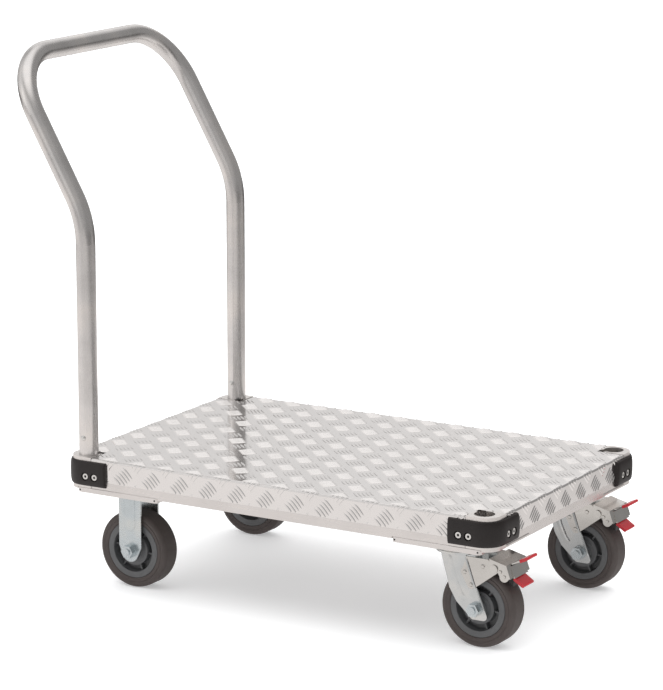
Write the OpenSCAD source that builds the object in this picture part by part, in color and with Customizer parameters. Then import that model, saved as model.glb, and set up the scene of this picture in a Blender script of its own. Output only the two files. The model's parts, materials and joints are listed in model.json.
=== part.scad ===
// Flatbed platform truck: tread-plate deck, lift-out loop handle,
// two rigid casters at the handle end and two braked swivel casters at the other.
// Millimetres, +Z up, long axis along X, handle at the -X end.
// "rear" is the handle end, "left" is +Y.

/* [Deck] */
// Length of the deck
deck_l = 765; // [650:5:1000]
// Width of the deck
deck_w = 490; // [430:5:700]
// Height of the skirt, top face to lower edge
skirt_h = 52; // [46:1:70]
// Thickness of the tread plate and of the edge rails
sheet_t = 3; // [2:0.5:4]
// Height of the smooth band along the lower edge
band_h = 15.5; // [10:0.5:20]
// Outside radius of the folded edges
fold_r = 3.5; // [3:0.5:5]
// Width of the rail flanges under the deck
rail_flange = 22; // [15:1:30]
// Spacing of the two stiffeners under the deck
stiffener_pitch = 170; // [120:5:220]
// Width of a stiffener
stiffener_w = 40; // [30:1:60]
// Height of a stiffener
stiffener_h = 25; // [18:1:36]

/* [Corner castings] */
// Length of the casting along X
casting_x = 47; // [44:1:60]
// Length of the casting along Y
casting_y = 43; // [41:1:60]
// Outside corner radius
corner_r = 26; // [20:1:32]
// Socket axis, in from the deck's end
socket_inset_x = 27; // [25:0.5:32]
// Socket axis, in from the deck's side
socket_inset_y = 23.5; // [22:0.5:28]
// How far the casting stands above the deck
casting_proud = 0.8; // [0.2:0.1:2]
// Width of the slot into the socket
keyway_w = 14; // [8:1:18]
// Depth of the slot, from the casting's top
keyway_depth = 20; // [10:1:30]
// Thickness of the arm behind the skirt
arm_t = 6; // [4:0.5:8]
// Joint between the casting and the deck plate
casting_gap = 0.6; // [0.3:0.1:1.5]

/* [Corner bumpers] */
// Reach of the bumper along each side, from the corner
bumper_len = 75; // [66:1:90]
// Height of the bumper
bumper_h = 40; // [36:1:42]
// Thickness of the bumper
bumper_t = 7; // [5:0.5:10]
// Outside corner radius of the bumper
bumper_r = 40; // [34:1:42]
// Drop from the deck's top to the bumper's top
bumper_drop = 5; // [4:0.5:8]
// Distance of the first screw from the corner
screw_near = 39; // [38:1:41]
// Distance between the two screws on each side
screw_pitch = 17; // [15:1:20]
// Diameter of the screw shank
screw_d = 5.6; // [4:0.2:6]
// Diameter of the screw head
screw_head_d = 9.6; // [8:0.2:11]

/* [Handle] */
// Diameter of the handle tube
tube_d = 31; // [25:0.5:34]
// Wall of the handle tube
tube_wall = 2; // [1.5:0.25:3]
// Deck top to the corner of the lower bend
handle_rise = 380; // [300:5:450]
// Backward rake above the lower bend, in degrees
handle_rake = 29.8; // [15:0.1:35]
// Length of the raked part, bend corner to crossbar
rake_len = 283; // [240:1:330]
// Centreline radius of the lower bends
lower_bend_r = 150; // [90:5:180]
// Centreline radius of the two top corners
top_bend_r = 100; // [70:5:120]
// Height of the retaining buttons above the deck
button_h = 29; // [20:1:40]
// Diameter of a retaining button
button_d = 9; // [6:0.5:12]
// Radial clearance of the tube in its socket
socket_clear = 0.3; // [0.1:0.05:0.5]

/* [Casters] */
// Wheel diameter
wheel_d = 125; // [110:1:130]
// Tyre width
tyre_w = 40; // [36:1:44]
// Diameter of the plastic rim under the tyre
rim_d = 93; // [86:1:96]
// Inner diameter of the rim's face ring
rim_bore = 72; // [68:1:74]
// Diameter of the stepped hub disc
hub_disc_d = 52; // [44:1:56]
// Diameter of the hub
hub_d = 31; // [28:1:34]
// Number of ribs in the rim
rib_count = 6; // [4:1:10]
// Overall height of a caster
caster_h = 161; // [158:1:180]
// Distance of the caster's centre from the deck's end
caster_inset_x = 91; // [85:1:110]
// Distance of the caster's centre from the deck's side
caster_inset_y = 68; // [66:1:80]
// Trail of the swivel caster
trail = 40; // [35:1:45]
// Clearance between the tyre and each fork leg
fork_clear = 3; // [2:0.5:5]
// Thickness of the fork steel
fork_t = 3.5; // [2.5:0.5:4.5]
// Width of a rigid fork leg
rigid_leg_w = 42; // [36:1:48]
// Axle bolt diameter
axle_d = 12; // [10:0.5:14]
// Outside diameter of the axle tube
axle_tube_d = 16; // [15:0.5:18]
// Outside diameter of the roller bearing
bearing_d = 22; // [20:0.5:24]
// Radial running clearance
run_clear = 0.05; // [0.02:0.01:0.1]

/* [Caster mounting] */
// Length of the caster's top plate
top_plate_l = 105; // [96:1:115]
// Width of the caster's top plate
top_plate_w = 85; // [78:1:95]
// Bolt spacing along the deck
bolt_x = 80; // [76:1:85]
// Bolt spacing across the deck
bolt_y = 60; // [56:1:66]
// Caster bolt diameter
bolt_d = 8; // [6:1:9]
// Length of the mounting plate
pad_l = 151; // [130:1:160]
// Width of the mounting plate
pad_w = 121; // [112:1:130]
// Thickness of the mounting plate
pad_t = 8; // [6:0.5:10]
// How far the mounting plate hangs below the skirt
pad_drop = 5; // [3:0.5:6]

/* [Swivel and brake] */
// Radius of the ball track
ball_track_r = 27; // [25:0.5:29]
// Ball diameter
ball_d = 6.3; // [5:0.1:7]
// Number of balls in a track
ball_count = 22; // [12:1:23]
// Radius of the fork's crown
crown_r = 37; // [34:0.5:38]
// Kingpin diameter
kingpin_d = 12; // [10:0.5:14]
// Thickness of the brake steel
brake_t = 2.5; // [2:0.5:3.5]
// Brake pivot, forward of the swivel axis
pivot_x = 74; // [72:1:76]
// Brake pivot, above the axle
pivot_z = 69.5; // [68:0.5:71]
// Width of a pedal across the truck
pedal_w = 34; // [26:1:40]

/* [Hidden] */

$fn = 64;
LEFT = 1;
RIGHT = -1;
FRONT = 1;
REAR = -1;
ALUMINIUM = [0.86, 0.86, 0.86];
ZINC = [0.78, 0.83, 0.86];
STEEL = [0.60, 0.60, 0.60];
RUBBER = [0.12, 0.11, 0.11];
TYRE_GREY = [0.27, 0.24, 0.23];
RIM_GREY = [0.33, 0.34, 0.36];
RED = [0.75, 0.06, 0.10];

eps = 0.01;              // overshoot of a cut past the face it leaves
fit_gap = 0.3;           // general clearance between separate pieces
hole_gap = 0.3;          // radial clearance of a screw or bolt in its hole

// levels above the floor
axle_z = wheel_d / 2;
skirt_z = caster_h + pad_drop;
deck_top = skirt_z + skirt_h;
deck_under = deck_top - sheet_t;
fold_in = max(fold_r - sheet_t, 0) + 0.2;
band_top = skirt_z + band_h;
pad_top = caster_h + pad_t;
casting_top = deck_top + casting_proud;
casting_low = skirt_z;
casting_floor = pad_top + sheet_t + fit_gap + 3.2;
bumper_top = deck_top - bumper_drop;
screw_z = bumper_top - bumper_h * 0.6;
screw_depth = sheet_t * 2 + arm_t * 0.6;

// plan positions, from the deck's centre
socket_x = deck_l / 2 - socket_inset_x;
socket_y = deck_w / 2 - socket_inset_y;
caster_x = deck_l / 2 - caster_inset_x;
caster_y = deck_w / 2 - caster_inset_y;
pad_out_y = deck_w / 2 + 1;
pad_end_x = deck_l / 2 - casting_x / 2 + 3;

// caster levels and widths
top_plate_t = 3.5;
top_plate_z = caster_h - top_plate_t;
leg_in = tyre_w / 2 + fork_clear;
leg_out = leg_in + fork_t;
hub_half = leg_in - 1;
ball_r = ball_d / 2;
race_gap = 0.8;
ball_z = top_plate_z - ball_d;
crown_t = 3.5;
race_h = 2.1;
crown_top = ball_z - race_gap / 2 - race_h;
crown_z = crown_top - crown_t;
tyre_r = wheel_d / 2;

// brake, measured from the swivel axis and the floor
pivot_h = axle_z + pivot_z;
rocker_in = leg_out + brake_t + 0.5;
rocker_out = rocker_in + brake_t;
block_half = 21.5;
lever_base = [19.3, 5.6];    // foot of the release lever, from the pivot
lever_slope = 24;
lever_l = 23;
lever_t = 2.2;
pedal_t = 4.8;
pedal_end = 31;              // tip of the release pedal, along the lever
pedal_tip = pivot_x + lever_base[0] + (pedal_end - pedal_t / 2) * cos(lever_slope);
shoe_gap = 5.8;

// handle
handle_c = [-socket_x - rake_len * sin(handle_rake), deck_top + handle_rise + rake_len * cos(handle_rake)];
handle_reach = -handle_c[0] + tube_d / 2;
pedal_reach = caster_x + pedal_tip + pedal_t / 2;
shift_x = (handle_reach - pedal_reach) / 2;

// ---- helpers ----

// the deck's centre stands at x = shift_x, so that the whole truck is centred on the origin
module truck() translate([shift_x, 0, 0]) children();

// copies what is drawn for the front-left corner to another one
module to_corner(end, side)
    mirror([end < 0 ? 1 : 0, 0, 0]) mirror([0, side < 0 ? 1 : 0, 0]) children();

module rod_y(r, from, to) translate([0, from, 0]) rotate([-90, 0, 0]) cylinder(r = r, h = to - from);
module hex_y(flats, from, to)
    translate([0, from, 0]) rotate([-90, 0, 0]) cylinder(r = flats / 2 / cos(30), h = to - from, $fn = 6);
module hex_z(flats, from, to)
    translate([0, 0, from]) cylinder(r = flats / 2 / cos(30), h = to - from, $fn = 6);
// a plate in the XZ plane, from y = from to y = to
module plate_y(from, to) translate([0, to, 0]) rotate([90, 0, 0]) linear_extrude(to - from) children();
module both_sides() for (s = [LEFT, RIGHT]) mirror([0, s < 0 ? 1 : 0, 0]) children();

// rounded rectangle with true arcs, corner at the origin, one radius for all corners
module round_rect(l, w, r) {
    translate([r, 0]) square([l - 2 * r, w]);
    translate([0, r]) square([l, w - 2 * r]);
    for (x = [r, l - r], y = [r, w - r]) translate([x, y]) circle(r = r);
}

// a rectangle from (x0, y0) to the outer corner (x1, y1), which is rounded
module outer_corner(x0, y0, x1, y1, r) {
    translate([x0, y0]) square([x1 - x0 - r, y1 - y0]);
    translate([x0, y0]) square([x1 - x0, y1 - y0 - r]);
    translate([x1 - r, y1 - r]) intersection() {
        circle(r = r);
        square(r);
    }
}

// points of an arc, for outlines
function arc(c, r, a0, a1, n = 10) = [for (i = [0:n])
    let (a = a0 + (a1 - a0) * i / n) c + r * [cos(a), sin(a)]];

// ---- deck ----

// section of the folded plate: flat top, rounded upper edges
module fold_section(w, low, high, r) {
    translate([-w / 2, low]) square([w, high - low - r]);
    translate([-w / 2 + r, low]) square([w - 2 * r, high - low]);
    for (s = [-1, 1]) translate([s * (w / 2 - r), high - r]) circle(r = r);
}

module fold_block(l, w, low, high, r) intersection() {
    rotate([90, 0, 90]) translate([0, 0, -l / 2]) linear_extrude(l) fold_section(w, low, high, r);
    rotate([90, 0, 0]) translate([0, 0, -w / 2]) linear_extrude(w) fold_section(l, low, high, r);
}

// holes for the screws that hold one bumper, through whatever lies behind it
module screw_holes(r) {
    for (k = [0, 1]) {
        translate([deck_l / 2 - screw_near - k * screw_pitch, 0, screw_z])
            rod_y(r, deck_w / 2 - screw_depth - 0.4, deck_w / 2 + bumper_t + 1);
        translate([deck_l / 2 - screw_depth - 0.4, deck_w / 2 - screw_near - k * screw_pitch, screw_z])
            rotate([0, 90, 0]) cylinder(r = r, h = screw_depth + bumper_t + 2);
    }
}

module corner_screw_holes() for (e = [FRONT, REAR], s = [LEFT, RIGHT])
    to_corner(e, s) screw_holes(screw_d / 2 + hole_gap);

module deck_plate() truck() color(ALUMINIUM) difference() {
    fold_block(deck_l, deck_w, band_top, deck_top, fold_r);
    fold_block(deck_l - 2 * sheet_t, deck_w - 2 * sheet_t, band_top - 1, deck_under, fold_r - sheet_t + eps);
    for (e = [FRONT, REAR], s = [LEFT, RIGHT]) to_corner(e, s)
        translate([deck_l / 2 - casting_x, deck_w / 2 - casting_y, band_top - 1])
            cube([casting_x + 1, casting_y + 1, deck_top]);
    corner_screw_holes();
}

// edge rail: smooth outer band, web behind the skirt, flanges turned inwards
module rail_section(half) polygon([
    [half, skirt_z], [half, band_top], [half - sheet_t, band_top], [half - sheet_t, deck_under - fold_in],
    [half - sheet_t - fold_in, deck_under], [half - sheet_t - rail_flange, deck_under],
    [half - sheet_t - rail_flange, deck_under - sheet_t],
    [half - 2 * sheet_t, deck_under - sheet_t], [half - 2 * sheet_t, skirt_z + sheet_t],
    [half - sheet_t - rail_flange, skirt_z + sheet_t], [half - sheet_t - rail_flange, skirt_z]]);

// room for the mounting pads, which are let into the rails
module pad_recesses() for (e = [FRONT, REAR], s = [LEFT, RIGHT]) to_corner(e, s)
    translate([pad_end_x - pad_l - fit_gap, pad_out_y - pad_w - fit_gap, skirt_z - 1])
        cube([pad_l + 2 * fit_gap, pad_w + 2, pad_top - skirt_z + 1]);

module side_rail(side) truck() color(ALUMINIUM) difference() {
    mirror([0, side < 0 ? 1 : 0, 0]) translate([-deck_l / 2 + casting_x, 0, 0])
        rotate([90, 0, 90]) linear_extrude(deck_l - 2 * casting_x) rail_section(deck_w / 2);
    pad_recesses();
    corner_screw_holes();
}

module end_rail(end) truck() color(ALUMINIUM) difference() {
    mirror([end < 0 ? 1 : 0, 0, 0]) translate([0, deck_w / 2 - casting_y, 0])
        rotate([90, 0, 0]) linear_extrude(deck_w - 2 * casting_y) rail_section(deck_l / 2);
    pad_recesses();
    corner_screw_holes();
}

module side_rail_left() side_rail(LEFT);
module side_rail_right() side_rail(RIGHT);
module end_rail_front() end_rail(FRONT);
module end_rail_rear() end_rail(REAR);

// hat section: web on top, two legs, flanges turned outwards at the bottom
module hat_section(w, h, flange, t) {
    translate([-w / 2, h - t]) square([w, t]);
    for (s = [-1, 1]) {
        translate([s > 0 ? w / 2 - t : -w / 2, 0]) square([t, h]);
        translate([s > 0 ? w / 2 - t : -w / 2 - flange + t, 0]) square([flange, t]);
    }
}

member_w = 48;           // width of a cross member's hat
member_flange = 36;      // its flanges, which the caster bolts clamp
member_end = deck_w / 2 - sheet_t - rail_flange - 1;

module caster_bolt_places() for (x = [-1, 1], y = [-1, 1])
    translate([x * bolt_x / 2, y * bolt_y / 2, 0]) children();

module bolt_holes(end) for (s = [LEFT, RIGHT]) translate([end * caster_x, s * caster_y, 0])
    caster_bolt_places() translate([0, 0, caster_h - top_plate_t - 1])
        cylinder(r = bolt_d / 2 + hole_gap, h = 30);

module cross_member(end) truck() color(ALUMINIUM) difference() {
    translate([end * caster_x, member_end, pad_top]) rotate([90, 0, 0])
        linear_extrude(2 * member_end) hat_section(member_w, deck_under - pad_top, member_flange, sheet_t);
    bolt_holes(end);
}

module cross_member_front() cross_member(FRONT);
module cross_member_rear() cross_member(REAR);

module deck_stiffeners() truck() color(ALUMINIUM) for (s = [LEFT, RIGHT])
    translate([-caster_x + member_w / 2, s * stiffener_pitch / 2, deck_under - stiffener_h])
        rotate([90, 0, 90]) linear_extrude(2 * caster_x - member_w)
            difference() {
                translate([-stiffener_w / 2, 0]) square([stiffener_w, stiffener_h]);
                translate([-stiffener_w / 2 + sheet_t, -1])
                    square([stiffener_w - 2 * sheet_t, stiffener_h + 1 - sheet_t]);
            }

// ---- corner castings and bumpers ----

module casting_outline()
    outer_corner(deck_l / 2 - casting_x + casting_gap, deck_w / 2 - casting_y + casting_gap,
        deck_l / 2, deck_w / 2, corner_r);

module corner_casting(end, side) truck() color(ALUMINIUM) to_corner(end, side) difference() {
    union() {
        translate([0, 0, casting_low]) linear_extrude(casting_top - casting_low) casting_outline();
        // arms that back the skirts, behind the rails
        translate([deck_l / 2 - bumper_len + 4, deck_w / 2 - 2 * sheet_t - arm_t - 0.2, casting_floor])
            cube([bumper_len - casting_x, arm_t, bumper_h - 6]);
        translate([deck_l / 2 - 2 * sheet_t - arm_t - 0.2, deck_w / 2 - bumper_len + 4, casting_floor])
            cube([arm_t, bumper_len - casting_y, bumper_h - 6]);
    }
    // socket for a handle post
    translate([socket_x, socket_y, casting_floor])
        cylinder(r = tube_d / 2 + socket_clear, h = casting_top);
    // slot that opens the socket towards the deck
    translate([socket_x, socket_y, casting_top - keyway_depth]) rotate([0, 0, 225])
        translate([0, -keyway_w / 2, 0]) cube([casting_x, keyway_w, keyway_depth + 1]);
    // seat on the mounting pad
    translate([0, 0, casting_low - 1])
        cube([pad_end_x + fit_gap, deck_w, pad_top - casting_low + 1]);
    // room for the cross member's flange and for the nearest caster nut
    translate([0, 0, casting_low - 1])
        cube([caster_x + member_w / 2 + member_flange, member_end + fit_gap,
            pad_top + sheet_t + fit_gap - casting_low + 1]);
    translate([caster_x + bolt_x / 2, caster_y + bolt_y / 2, casting_low - 1])
        cylinder(r = 8, h = pad_top + 13 - casting_low);
    screw_holes(screw_d / 2 + hole_gap);
}

module corner_casting_front_left() corner_casting(FRONT, LEFT);
module corner_casting_front_right() corner_casting(FRONT, RIGHT);
module corner_casting_rear_left() corner_casting(REAR, LEFT);
module corner_casting_rear_right() corner_casting(REAR, RIGHT);

module bumper(end, side) truck() color(RUBBER) to_corner(end, side) difference() {
    translate([0, 0, bumper_top - bumper_h]) linear_extrude(bumper_h) difference() {
        outer_corner(deck_l / 2 - bumper_len, deck_w / 2 - bumper_len,
            deck_l / 2 + bumper_t, deck_w / 2 + bumper_t, bumper_r);
        outer_corner(deck_l / 2 - bumper_len - 1, deck_w / 2 - bumper_len - 1,
            deck_l / 2, deck_w / 2, corner_r);
    }
    screw_holes(screw_d / 2 + hole_gap);
    // counterbores, which leave a floor under each screw head
    for (k = [0, 1]) {
        translate([deck_l / 2 - screw_near - k * screw_pitch, 0, screw_z])
            rod_y(screw_head_d / 2 + 1.2, deck_w / 2 + 2, deck_w / 2 + bumper_t + 1);
        translate([deck_l / 2 + 2, deck_w / 2 - screw_near - k * screw_pitch, screw_z])
            rotate([0, 90, 0]) cylinder(r = screw_head_d / 2 + 1.2, h = bumper_t);
    }
}

module bumper_front_left() bumper(FRONT, LEFT);
module bumper_front_right() bumper(FRONT, RIGHT);
module bumper_rear_left() bumper(REAR, LEFT);
module bumper_rear_right() bumper(REAR, RIGHT);

// socket screw, head outwards along +Y, seated at y = 0
module socket_screw() difference() {
    union() {
        rod_y(screw_head_d / 2, 0, 3.6);
        rod_y(screw_d / 2, -screw_depth - 2, eps);
    }
    hex_y(4, 1.4, 4);
}

module bumper_screws() truck() color(ZINC) for (e = [FRONT, REAR], s = [LEFT, RIGHT]) to_corner(e, s)
    for (k = [0, 1]) {
        translate([deck_l / 2 - screw_near - k * screw_pitch, deck_w / 2 + 2, screw_z]) socket_screw();
        translate([deck_l / 2 + 2, deck_w / 2 - screw_near - k * screw_pitch, screw_z])
            rotate([0, 0, -90]) socket_screw();
    }

// ---- caster mounting ----

module mounting_pad(end, side) truck() color(ALUMINIUM) difference() {
    to_corner(end, side) translate([pad_end_x - pad_l, pad_out_y - pad_w, caster_h])
        linear_extrude(pad_t) round_rect(pad_l, pad_w, 6);
    bolt_holes(end);
}

module mounting_pad_front_left() mounting_pad(FRONT, LEFT);
module mounting_pad_front_right() mounting_pad(FRONT, RIGHT);
module mounting_pad_rear_left() mounting_pad(REAR, LEFT);
module mounting_pad_rear_right() mounting_pad(REAR, RIGHT);

// bolt heads below the caster's plate, nuts on the cross member's flange
module caster_bolts() truck() color(ZINC) for (e = [FRONT, REAR], s = [LEFT, RIGHT])
    translate([e * caster_x, s * caster_y, 0]) caster_bolt_places() {
        hex_z(13, top_plate_z - 4.5, top_plate_z);
        translate([0, 0, top_plate_z - eps])
            cylinder(r = bolt_d / 2, h = pad_top + sheet_t + 9 - top_plate_z);
        hex_z(13, pad_top + sheet_t, pad_top + sheet_t + 6.5);
    }

module top_plate_outline() difference() {
    translate([-top_plate_l / 2, -top_plate_w / 2]) round_rect(top_plate_l, top_plate_w, 7);
    caster_bolt_places() circle(r = bolt_d / 2 + hole_gap);
}

// ---- handle ----

// straight length of a bend of radius r through angle a, on each side of its corner
function tangent(r, a) = r * tan(a / 2);

// the tube's centreline, drawn as solid rods of the given radius
module handle_shape(r, extra) {
    low_t = tangent(lower_bend_r, handle_rake);
    for (s = [LEFT, RIGHT]) mirror([0, s < 0 ? 1 : 0, 0]) {
        // upright, from the socket's floor to the lower bend
        translate([-socket_x, socket_y, casting_floor + 0.3 - extra])
            cylinder(r = r, h = deck_top + handle_rise - low_t - casting_floor - 0.3 + extra);
        // lower bend
        translate([-socket_x - lower_bend_r, socket_y, deck_top + handle_rise - low_t])
            rotate([90, 0, 0]) rotate_extrude(angle = handle_rake)
                translate([lower_bend_r, 0]) circle(r = r);
        // raked part and top corner
        translate([-socket_x, 0, deck_top + handle_rise]) rotate([0, -handle_rake, 0]) {
            translate([0, socket_y, low_t]) cylinder(r = r, h = rake_len - top_bend_r - low_t);
            translate([0, socket_y - top_bend_r, rake_len - top_bend_r]) rotate([0, -90, 0])
                rotate_extrude(angle = 90) translate([top_bend_r, 0]) circle(r = r);
        }
    }
    // crossbar
    translate([-socket_x, 0, deck_top + handle_rise]) rotate([0, -handle_rake, 0])
        translate([0, 0, rake_len])
            rod_y(r, -socket_y + top_bend_r, socket_y - top_bend_r);
}

module handle_tube() truck() color(ALUMINIUM) difference() {
    handle_shape(tube_d / 2, 0);
    handle_shape(tube_d / 2 - tube_wall, 1);
    for (s = [LEFT, RIGHT]) translate([-socket_x, s * socket_y, deck_top + button_h])
        rod_y(button_d / 4 + hole_gap, -tube_d, tube_d);
}

// domed buttons on a cross pin, one in each post
module handle_buttons() truck() color(STEEL) for (s = [LEFT, RIGHT])
    translate([-socket_x, s * socket_y, deck_top + button_h]) {
        rod_y(button_d / 4, -tube_d / 2 - 1, tube_d / 2 + 1);
        for (m = [0, 1]) mirror([0, m, 0]) translate([0, -tube_d / 2 - 0.1, 0]) rotate([90, 0, 0])
            intersection() {
                translate([0, 0, -button_d * 0.35]) sphere(r = button_d * 0.62);
                cylinder(r = button_d / 2, h = button_d);
            }
    }

module handle_end_plugs() truck() color(RUBBER) for (s = [LEFT, RIGHT])
    translate([-socket_x, s * socket_y, casting_floor]) {
        cylinder(r = tube_d / 2 - 0.3, h = 0.3);
        cylinder(r = tube_d / 2 - tube_wall - 0.05, h = 12);
    }

// ---- wheels, drawn about the axle at the origin, axis along Y ----

module turn_about_y() rotate([90, 0, 0]) rotate_extrude($fn = 96) children();

module tyre_shape() turn_about_y() difference() {
    union() {
        shoulder = 7;
        translate([rim_d / 2, -tyre_w / 2]) square([tyre_r - shoulder - rim_d / 2, tyre_w]);
        translate([rim_d / 2, -tyre_w / 2 + shoulder]) square([tyre_r - rim_d / 2, tyre_w - 2 * shoulder]);
        for (s = [-1, 1]) translate([tyre_r - shoulder, s * (tyre_w / 2 - shoulder)]) circle(r = shoulder);
    }
    // step that runs round each sidewall
    for (s = [-1, 1]) translate([rim_d / 2 + 4.5, s * tyre_w / 2]) rotate([0, 0, 45])
        square(1.4, center = true);
}

module wheel_core_shape() {
    rim_half = tyre_w / 2 - 1.2;
    turn_about_y() {
        translate([rim_bore / 2, -rim_half]) square([(rim_d - rim_bore) / 2, 2 * rim_half]);
        translate([bearing_d / 2 + 0.05, -4]) square([rim_bore / 2 - bearing_d / 2, 8]);
        translate([bearing_d / 2 + 0.05, -rim_half + 3])
            square([(hub_disc_d - bearing_d) / 2, 2 * rim_half - 6]);
        translate([bearing_d / 2 + 0.05, -hub_half]) square([(hub_d - bearing_d) / 2, 2 * hub_half]);
    }
    for (i = [0:rib_count - 1]) rotate([0, 360 / rib_count * i + 8, 0])
        translate([(hub_disc_d + rim_bore) / 4, 0, 0])
            cube([(rim_bore - hub_disc_d) / 2 + 2, 2 * rim_half - 8, 3.2], center = true);
}

module bearing_shape() turn_about_y()
    translate([axle_tube_d / 2 + run_clear, -hub_half])
        square([(bearing_d - axle_tube_d) / 2 - run_clear, 2 * hub_half]);

// places a wheel at one caster; the swivel ones trail forwards
function wheel_x(end) = end > 0 ? caster_x + trail : -caster_x;
module at_wheel(end, side) truck() translate([wheel_x(end), side * caster_y, axle_z]) children();

module wheel_core(end, side) at_wheel(end, side) color(RIM_GREY) wheel_core_shape();
module tyre(end, side) at_wheel(end, side) color(TYRE_GREY) tyre_shape();
module wheel_bearing(end, side) at_wheel(end, side) color(STEEL) bearing_shape();

module wheel_core_rear_left() wheel_core(REAR, LEFT);
module wheel_core_rear_right() wheel_core(REAR, RIGHT);
module wheel_core_front_left() wheel_core(FRONT, LEFT);
module wheel_core_front_right() wheel_core(FRONT, RIGHT);
module tyre_rear_left() tyre(REAR, LEFT);
module tyre_rear_right() tyre(REAR, RIGHT);
module tyre_front_left() tyre(FRONT, LEFT);
module tyre_front_right() tyre(FRONT, RIGHT);
module wheel_bearing_rear_left() wheel_bearing(REAR, LEFT);
module wheel_bearing_rear_right() wheel_bearing(REAR, RIGHT);
module wheel_bearing_front_left() wheel_bearing(FRONT, LEFT);
module wheel_bearing_front_right() wheel_bearing(FRONT, RIGHT);

// axle bolt with its head at +Y and its nut at -Y, about the axle at the origin
module axle_bolt_shape() {
    hex_y(19, leg_out, leg_out + 7.5);
    rod_y(axle_d / 2, -leg_out - 13, leg_out + eps);
    rod_y(10.5, -leg_out - 2, -leg_out);
    hex_y(19, -leg_out - 10.5, -leg_out - 2);
}

module axle_tube_shape() difference() {
    rod_y(axle_tube_d / 2, -leg_in, leg_in);
    rod_y(axle_d / 2 + 0.15, -leg_in - 1, leg_in + 1);
}

// ---- rigid casters, drawn about the caster's centre on the floor ----

module rigid_leg_outline() {
    tip_r = 14.5;
    tip_z = axle_z - 4;
    polygon([[-rigid_leg_w / 2, top_plate_z], [-rigid_leg_w / 2, axle_z + 7],
        [-tip_r * cos(26.6), tip_z - tip_r * sin(26.6)], [tip_r * cos(26.6), tip_z - tip_r * sin(26.6)],
        [rigid_leg_w / 2, axle_z + 7], [rigid_leg_w / 2, top_plate_z]]);
    translate([0, tip_z]) circle(r = tip_r);
}

module rigid_fork(side) truck() color(ZINC) translate([-caster_x, side * caster_y, 0]) difference() {
    union() {
        translate([0, 0, top_plate_z]) linear_extrude(top_plate_t) top_plate_outline();
        translate([-rigid_leg_w / 2, -leg_out, top_plate_z - fork_t])
            cube([rigid_leg_w, 2 * leg_out, fork_t]);
        both_sides() {
            plate_y(leg_in, leg_out) rigid_leg_outline();
            // pressed rib
            plate_y(leg_out - eps, leg_out + 1.2) {
                translate([-10, axle_z + 43]) square([20, top_plate_z - axle_z - 43]);
                translate([0, axle_z + 43]) circle(r = 10);
            }
        }
    }
    translate([0, 0, axle_z]) rod_y(axle_d / 2 + 0.15, -leg_out - 2, leg_out + 2);
}

module rigid_fork_left() rigid_fork(LEFT);
module rigid_fork_right() rigid_fork(RIGHT);
module rigid_axle_bolts() for (s = [LEFT, RIGHT]) at_wheel(REAR, s) color(ZINC) axle_bolt_shape();
module rigid_axle_tubes() for (s = [LEFT, RIGHT]) at_wheel(REAR, s) color(STEEL) axle_tube_shape();

// ---- swivel casters, drawn about the swivel axis on the floor ----

module at_swivel(side) truck() translate([caster_x, side * caster_y, 0]) children();

module ball_groove() translate([0, 0, ball_z]) rotate_extrude($fn = 96)
    translate([ball_track_r, 0]) circle(r = ball_r + 0.3, $fn = 48);

module swivel_plate(side) at_swivel(side) color(ZINC) difference() {
    union() {
        translate([0, 0, top_plate_z]) linear_extrude(top_plate_t) top_plate_outline();
        translate([0, 0, ball_z + race_gap / 2])
            cylinder(r = ball_track_r + 6.5, h = top_plate_z - ball_z - race_gap / 2 + eps);
    }
    ball_groove();
    translate([0, 0, ball_z - 5]) cylinder(r = kingpin_d / 2 + run_clear, h = 20);
}

module swivel_plate_left() swivel_plate(LEFT);
module swivel_plate_right() swivel_plate(RIGHT);

module swivel_balls() for (s = [LEFT, RIGHT]) at_swivel(s) color(STEEL)
    for (i = [0:ball_count - 1]) rotate([0, 0, 360 / ball_count * i])
        translate([ball_track_r, 0, ball_z]) sphere(r = ball_r, $fn = 32);

module swivel_kingpins() for (s = [LEFT, RIGHT]) at_swivel(s) color(STEEL) {
    translate([0, 0, crown_z - 1]) cylinder(r = kingpin_d / 2, h = caster_h - crown_z + 1);
    translate([0, 0, crown_z - 4.2]) cylinder(r1 = kingpin_d / 2 + 2, r2 = kingpin_d / 2 + 4, h = 4);
}

// leg of the swivel fork: broad at the crown, sloping to the axle
function swivel_leg_points() = concat(
    [[22, crown_top], [-20, crown_top]],
    [[-14, axle_z + 62], [-4, axle_z + 28], [8, axle_z + 8]],
    arc([trail - 3, axle_z - 10], 6.5, 215, 270, 4),
    arc([trail + 13.5, axle_z - 10], 6.5, 270, 385, 8),
    [[trail + 2, axle_z + 35]]);

module swivel_fork(side) at_swivel(side) color(ZINC) difference() {
    union() {
        translate([0, 0, crown_z]) cylinder(r = crown_r, h = crown_t);
        translate([0, 0, crown_top - eps]) cylinder(r = ball_track_r + 6.5, h = race_h + eps);
        both_sides() plate_y(leg_in, leg_out) polygon(swivel_leg_points());
    }
    ball_groove();
    translate([0, 0, crown_z - 1]) cylinder(r = kingpin_d / 2 + run_clear, h = 20);
    translate([trail, 0, axle_z]) rod_y(axle_d / 2 + 0.15, -leg_out - 2, leg_out + 2);
}

module swivel_fork_left() swivel_fork(LEFT);
module swivel_fork_right() swivel_fork(RIGHT);

module swivel_axle(side) at_swivel(side) translate([trail, 0, axle_z]) color(ZINC) {
    axle_bolt_shape();
    axle_tube_shape();
}

module swivel_axle_left() swivel_axle(LEFT);
module swivel_axle_right() swivel_axle(RIGHT);

// ---- brake, drawn about the swivel axis on the floor ----

brake_rivets = [[trail - 16.5, axle_z + 57], [trail - 6, axle_z + 38.5], [trail + 14, axle_z + 69.5]];

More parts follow.
